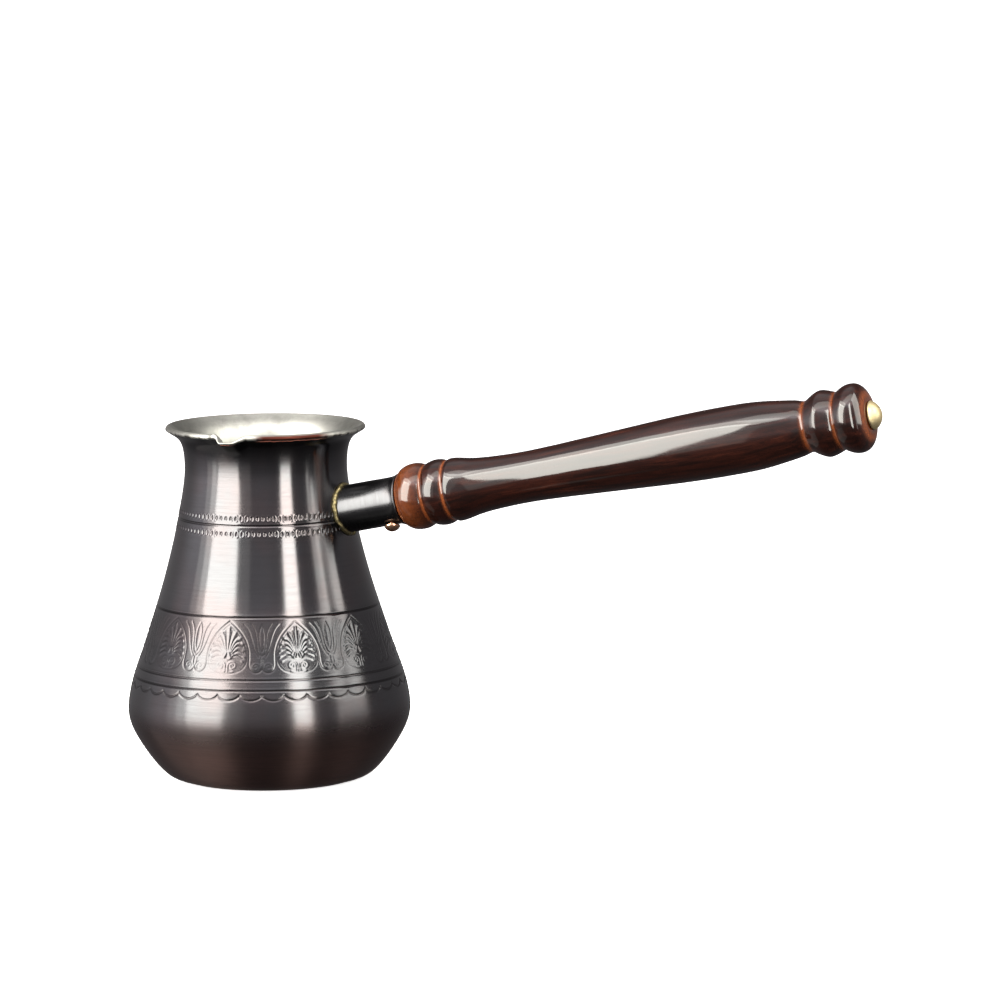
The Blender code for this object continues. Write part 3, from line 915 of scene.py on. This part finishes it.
def make_tin(material):
    """The tin inside the pot, rolled over the lip's edge and a little way down outside."""
    turns = even_turns(TIN_COLUMNS, PALMETTE_TURN)
    end = POT_ARC[-1]
    throat = arc_at(THROAT_HEIGHT)
    lining_arcs = np.concatenate([
        steps_between(TIN_FOOT_ARC, throat, TIN_ROW),
        steps_between(throat, end, TIN_THROAT_ROW)[1:],
    ])
    inner = on_pot(lining_arcs, LIP_THICKNESS)
    floor = np.array([(TIN_FLOOR_RADIUS, LIP_THICKNESS), (TIN_FLOOR_BEND, LIP_THICKNESS)])
    low, high = on_pot(np.array([end]))[0], inner[-1]
    across = high - low
    outward = np.array([across[1], -across[0]]) / np.linalg.norm(across)
    swing = np.linspace(0, math.pi, 14)[1:-1, None]
    bead = (low + high) / 2 + across / 2 * np.cos(swing) + outward * TIN_BEAD * np.sin(swing)
    skirt = on_pot(np.array([end, end - RIM_COVER]), -TIN_SKIRT_LIFT)
    back_arcs = steps_between(TIN_FOOT_ARC, end - TIN_BACK_DROP, INNER_ROW)[::-1]
    back = on_pot(back_arcs, WALL + GAP)
    back_floor = np.array([(TIN_FLOOR_RADIUS, WALL + GAP)])
    line = np.concatenate([floor, inner, bead, skirt, back, back_floor])
    inside = np.concatenate([
        np.ones(len(floor) + len(inner)), np.linspace(1, 0, len(bead)), np.zeros(2),
        0.7 * np.ones(len(back) + 1),
    ])[:, None]
    points = pinch_spout(turned(line, turns), inside)
    points[..., 2] = np.maximum(points[..., 2], WALL + GAP)
    shown = len(floor) + len(inner) + len(bead) + 2
    ragged = 0.5 + 0.5 * smooth_noise(turns, (11, 23, 37, 61, 97), RNG_SEED + 1)
    down = np.zeros((len(points), 1))
    down[shown - TIN_EDGE_ROWS:shown, 0] = np.linspace(0.2, 1.0, TIN_EDGE_ROWS)
    tinned = 1 - np.clip(1.6 * down * smoothstep(0.40, 0.75, ragged)[None, :], 0, 1) * 0.9
    worn = np.zeros_like(tinned)
    blotches = np.clip(1.3 + 0.5 * smooth_noise(turns, (13, 29, 47), RNG_SEED + 4), 0, 1)
    down_edge = smoothstep(0.1, 0.45, np.linspace(0, 1, TIN_WORN_ROWS))[:, None]
    worn[shown - TIN_WORN_ROWS:shown] = (front_wear(turns) * blotches)[None, :] * down_edge
    bands = [(shown - 1, 2, CAPPED_SHOWN), (len(points) - shown, 1, CAPPED_HIDDEN)]
    obj = grid_object(
        "tin_skin", points, bands, sharp_rows=(shown - 1, shown),
        attributes={"tinned": tinned, "worn": worn},
    )
    return place_piece(obj, material, "tin", "tin_lining")


def handle_matrix():
    """Local +Z runs outward along the handle and local +X points down."""
    turn = Matrix.Rotation(math.pi / 2 - HANDLE_RISE, 4, "Y")
    return Matrix.Translation((0, 0, AXIS_HEIGHT)) @ turn


def wall_crossing(radius, turns):
    """How far along a tube of this radius on the handle's axis meets the wall, at each turn."""
    across_x, across_y = radius * np.cos(turns), radius * np.sin(turns)
    along = np.full_like(turns, 0.028)
    for _ in range(30):
        x = along * math.cos(HANDLE_RISE) + across_x * math.sin(HANDLE_RISE)
        z = AXIS_HEIGHT + along * math.sin(HANDLE_RISE) - across_x * math.cos(HANDLE_RISE)
        along = along + np.interp(z, POT_LINE[:, 1], POT_LINE[:, 0]) - np.hypot(x, across_y)
    return along


def make_socket(material):
    """The copper tube from the pot's wall to its flared mouth, thin all round."""
    turns = even_turns(SOCKET_SIDES)
    outline = spline_through(SOCKET_OUTLINE, 12)
    start = wall_crossing(SOCKET_RADIUS, turns) - SOCKET_SUNK
    share = np.linspace(0, 1, 60)[:, None]
    along = start[None, :] + (SOCKET_MOUTH - start[None, :]) * share
    radius = np.interp(along, outline[:, 1], outline[:, 0])
    edge = np.full((1, len(turns)), SOCKET_MOUTH + SOCKET_LIP)
    all_radius = np.vstack([radius, radius[-1:] - SOCKET_WALL / 2, radius[::-1] - SOCKET_WALL])
    points = round_axis(all_radius, turns, np.vstack([along, edge, along[::-1]]))
    bands = [
        (len(along) - 1, 2, (0.0, 0.90)),
        (len(points) - len(along) + 1, 1, (0.91, 1.0)),
    ]
    zero = np.zeros(points.shape[:2])
    obj = grid_object(
        "socket_tube", points, bands, closed=True,
        attributes={"relief": zero, "tinned": zero, "worn": zero},
    )
    obj.matrix_world = handle_matrix()
    return place_piece(obj, material, "socket_copper", "handle_socket")


def make_braze(material):
    """An uneven bead of brass round the socket's root."""
    turns = even_turns(BRAZE_COLUMNS)
    middle, out = BRAZE_MIDDLE
    along = wall_crossing(middle, turns) + out
    swell = BRAZE_RADIUS * (1 + 0.16 * smooth_noise(turns, (3, 5, 8, 13), RNG_SEED + 2))
    wander = 0.0002 * smooth_noise(turns, (7, 12, 19), RNG_SEED + 3)
    section = even_turns(BRAZE_SIDES)[:, None]
    height = along + wander + swell * np.sin(section)
    points = round_axis(middle + swell * np.cos(section), turns, height)
    bands = [(BRAZE_SIDES, 2, (0.0, 1.0))]
    obj = grid_object("braze_bead", points, bands, closed=True)
    obj.matrix_world = handle_matrix()
    return place_piece(obj, material, "braze_brass", "braze_fillet")


def grip_bareness(along_mm):
    """Where the turned grooves and rims show lighter wood through the lacquer."""
    total = np.zeros_like(along_mm)
    for middle, width, strength in GRIP_BARE:
        total = np.maximum(total, strength * np.exp(-(((along_mm - middle) / width) ** 2)))
    return total


def make_grip(material):
    """The turned wooden handle, from its tenon inside the socket to its end face."""
    turns = even_turns(GRIP_SIDES)
    outline = spline_through(GRIP_OUTLINE, 10)
    arc = arc_lengths(outline)
    rows = steps_between(0.0, arc[-1], GRIP_ROW)
    shown = np.stack([np.interp(rows, arc, column) for column in outline.T], axis=1)
    tenon = np.array([(TENON_RADIUS, TENON_START), (TENON_RADIUS, SHOULDER)])
    line = np.concatenate([tenon, shown, [(GRIP_CAP_RADIUS, END_FACE)]])
    points = turned(line, turns)
    out_of_round = 1 + 0.004 * np.sin(2 * turns + 0.8)[None, :] * np.sin(line[:, 1] * 90)[:, None]
    points[..., :2] *= out_of_round[..., None]
    bare = np.broadcast_to(grip_bareness(line[:, 1] / MM)[:, None], points.shape[:2])
    bands = [
        (2, 1, (0.87, 0.875)),
        (len(shown) - 1, 1, (0.0, 0.85)),
        (1, 1, (0.855, 0.86)),
    ]
    obj = grid_object("turned_grip", points, bands, sharp_rows=(1, 2), attributes={"bare": bare})
    obj.matrix_world = handle_matrix()
    return place_piece(obj, material, "lacquered_wood", "handle_grip")


def dome_line(radius, height, base, steps):
    """A spherical cap's (radius, height) line from its edge to near its top."""
    sphere = (radius * radius + height * height) / (2 * height)
    widest = math.asin(min(radius / sphere, 1.0))
    if height > sphere:
        widest = math.pi - widest
    angle = widest * (1 - np.arange(steps) / steps)
    up = base + height - sphere + sphere * np.cos(angle)
    return np.stack([sphere * np.sin(angle), up], axis=1)


def fastener_piece(name, line):
    points = turned(np.array(line), even_turns(FASTENER_SIDES))
    bands = [(len(line) - 1, 1, (0.0, 0.84))]
    return grid_object(name, points, bands)


def make_screw(material):
    """The slotted round-head screw under the socket."""
    seat = SCREW_SEAT
    shank, bevel = SCREW_SHANK_RADIUS, 0.00015
    line = [
        (shank - 0.0001, seat - SCREW_SHANK), (shank, seat - SCREW_SHANK + 0.0007),
        (shank, seat - 0.00002), (SCREW_HEAD_RADIUS - bevel, seat),
        (SCREW_HEAD_RADIUS, seat + bevel),
        *dome_line(SCREW_HEAD_RADIUS, SCREW_HEAD_HEIGHT - SCREW_RIM, seat + SCREW_RIM, 14),
    ]
    screw = fastener_piece("screw_head", line)
    bm = bmesh.new()
    bmesh.ops.create_cube(bm, size=1.0)
    size = (SCREW_SLOT_WIDTH, 3 * SCREW_HEAD_RADIUS, 2 * SCREW_SLOT_DEPTH)
    bmesh.ops.scale(bm, verts=bm.verts, vec=size)
    bmesh.ops.rotate(bm, verts=bm.verts, matrix=Matrix.Rotation(SCREW_SLOT_TURN, 3, "Z"))
    bmesh.ops.translate(bm, verts=bm.verts, vec=(0, 0, seat + SCREW_HEAD_HEIGHT))
    mesh = bpy.data.meshes.new("slot")
    bm.to_mesh(mesh)
    bm.free()
    slot = add_object("slot", mesh)
    boolean = screw.modifiers.new("Slot", "BOOLEAN")
    boolean.object = slot
    boolean.solver = "EXACT"
    bpy.context.view_layer.update()
    graph = bpy.context.evaluated_depsgraph_get()
    cut_mesh = bpy.data.meshes.new_from_object(screw.evaluated_get(graph))
    screw.modifiers.clear()
    screw.data = cut_mesh
    bpy.data.objects.remove(slot)
    cut_mesh.set_sharp_from_angle(angle=SCREW_SHARP_ANGLE)
    screw_turn = Matrix.Rotation(-SCREW_TURN, 4, "Z") @ Matrix.Rotation(math.pi / 2, 4, "Y")
    screw.matrix_world = handle_matrix() @ Matrix.Translation((0, 0, SCREW_ALONG)) @ screw_turn
    return place_piece(screw, material, "fastener_brass", "handle_screw")


def make_stud(material):
    """The domed stud in the end of the grip."""
    seat = END_FACE + GAP
    line = [
        (STUD_SHANK_RADIUS, seat - STUD_SHANK), (STUD_SHANK_RADIUS, seat),
        (STUD_RADIUS - 0.0002, seat), (STUD_RADIUS, seat + 0.0002),
        *dome_line(STUD_RADIUS, STUD_HEIGHT - STUD_EDGE, seat + STUD_EDGE, 20),
    ]
    stud = fastener_piece("stud_dome", line)
    stud.matrix_world = handle_matrix()
    return place_piece(stud, material, "stud_brass", "end_stud")


# ---------- studio


def view_direction(azimuth, elevation):
    """Unit vector from the object towards a viewer there; azimuth 0 is on -Y and 90 on +X."""
    return Vector((
        math.sin(azimuth) * math.cos(elevation),
        -math.cos(azimuth) * math.cos(elevation),
        math.sin(elevation),
    ))


def make_camera():
    data = bpy.data.cameras.new("camera")
    camera = add_object("camera", data)
    back = view_direction(VIEW_AZIMUTH, VIEW_ELEVATION)
    right = Vector((math.cos(VIEW_AZIMUTH), math.sin(VIEW_AZIMUTH), 0.0))
    up = back.cross(right)
    tilted_right = right * math.cos(VIEW_ROLL) - up * math.sin(VIEW_ROLL)
    tilted_up = up * math.cos(VIEW_ROLL) + right * math.sin(VIEW_ROLL)
    location = VIEW_CENTRE + back * VIEW_DISTANCE
    target = VIEW_CENTRE + tilted_right * VIEW_RIGHT + tilted_up * VIEW_UP
    away = (location - target).normalized()
    side = tilted_up.cross(away).normalized()
    rise = away.cross(side)
    turn = Matrix((side, rise, away)).transposed().to_4x4()
    camera.matrix_world = Matrix.Translation(location) @ turn
    data.sensor_width = 36.0
    data.lens = data.sensor_width * VIEW_DISTANCE / VIEW_WIDTH
    data.clip_end = 50.0
    bpy.context.scene.camera = camera


def add_softbox(name, azimuth, elevation, spread, radiance, distance=SOFTBOX_DISTANCE):
    """A rectangular light facing the pot, as one line of SOFTBOXES gives it."""
    size = [2 * distance * math.tan(math.radians(angle) / 2) for angle in spread]
    data = bpy.data.lights.new(name, "AREA")
    data.shape = "RECTANGLE"
    data.size, data.size_y = size
    data.energy = radiance * math.pi * size[0] * size[1]
    data.color = SOFTBOX_COLOR
    light = add_object(name, data)
    towards = view_direction(VIEW_AZIMUTH + math.radians(azimuth), math.radians(elevation))
    light.location = LIT_CENTRE + towards * distance
    light.rotation_euler = towards.to_track_quat("Z", "Y").to_euler()
    light.visible_camera = False


def make_lights():
    for softbox in SOFTBOXES:
        add_softbox(*softbox)


def make_world():
    """White to the camera, and to other rays a dim studio: lightest overhead and on the left."""
    world = bpy.data.worlds.new("studio")
    bpy.context.scene.world = world
    world.use_nodes = True
    nodes = Nodes(world.node_tree)
    nodes.tree.nodes.clear()
    direction = nodes.node("ShaderNodeTexCoord").outputs["Generated"]
    strength = None
    for axis, stops in (
        (view_direction(VIEW_AZIMUTH, 0.0), BACK_TO_FRONT),
        (view_direction(VIEW_AZIMUTH - LEFT_TURN, 0.0), RIGHT_TO_LEFT),
        (Vector((0, 0, 1)), DOWN_TO_UP),
        (view_direction(VIEW_AZIMUTH + math.pi, BEHIND_ELEVATION), OVERHEAD_BEHIND),
    ):
        shade = shade_towards(nodes, direction, axis, stops)
        strength = shade if strength is None else nodes.math("MULTIPLY", strength, shade)
    color = (*STUDIO_COLOR, 1.0)
    studio = nodes.node("ShaderNodeBackground", {"Color": color, "Strength": strength})
    white = nodes.node("ShaderNodeBackground", {"Color": (1.0, 1.0, 1.0, 1.0)})
    to_camera = nodes.node("ShaderNodeLightPath").outputs["Is Camera Ray"]
    inputs = {0: to_camera, 1: studio.outputs[0], 2: white.outputs[0]}
    seen = nodes.node("ShaderNodeMixShader", inputs)
    nodes.node("ShaderNodeOutputWorld", {"Surface": seen.outputs[0]})


def shade_towards(nodes, direction, axis, stops):
    """The world's brightness by how far it lies towards an axis, from 0 opposite it to 1 on it."""
    inputs = {0: direction, 1: axis}
    dot = nodes.node("ShaderNodeVectorMath", inputs, operation="DOT_PRODUCT").outputs["Value"]
    share = nodes.node("ShaderNodeMapRange", {"Value": dot, "From Min": -1.0}).outputs["Result"]
    curve = nodes.node("ShaderNodeFloatCurve", {"Value": share})
    line = curve.mapping.curves[0]
    for place, value in stops[1:-1]:
        line.points.new(place, value / SHADE_SCALE)
    line.points[0].location = (0.0, stops[0][1] / SHADE_SCALE)
    line.points[-1].location = (1.0, stops[-1][1] / SHADE_SCALE)
    curve.mapping.update()
    return nodes.math("MULTIPLY", curve.outputs[0], SHADE_SCALE)


def make_floor():
    mesh = bpy.data.meshes.new("floor")
    bm = bmesh.new()
    bmesh.ops.create_grid(bm, x_segments=1, y_segments=1, size=FLOOR_SIZE)
    bm.to_mesh(mesh)
    bm.free()
    floor = add_object("floor", mesh)
    floor.location.z = FLOOR_HEIGHT
    floor.data.materials.append(pale_floor("pale_floor"))
    floor.visible_glossy = False
    floor.visible_diffuse = False
    floor.visible_shadow = False


def build():
    copper = patinated_copper("patinated_copper")
    make_wall(copper)
    make_belly(copper)
    make_tin(tinned_copper("tin"))
    make_socket(patinated_copper("socket_copper", belly=False, smooth=0.27, anisotropic=0.2))
    make_braze(braze_brass("braze_brass"))
    make_grip(lacquered_wood("lacquered_wood"))
    make_screw(fastener_brass("fastener_brass", SCREW_BRASS, SCREW_TARNISH, 0.22))
    make_stud(fastener_brass("stud_brass", STUD_BRASS, STUD_TARNISH, 0.45))
    make_floor()
    make_lights()
    make_world()
    make_camera()
    bpy.context.scene.view_settings.view_transform = "Standard"


build()
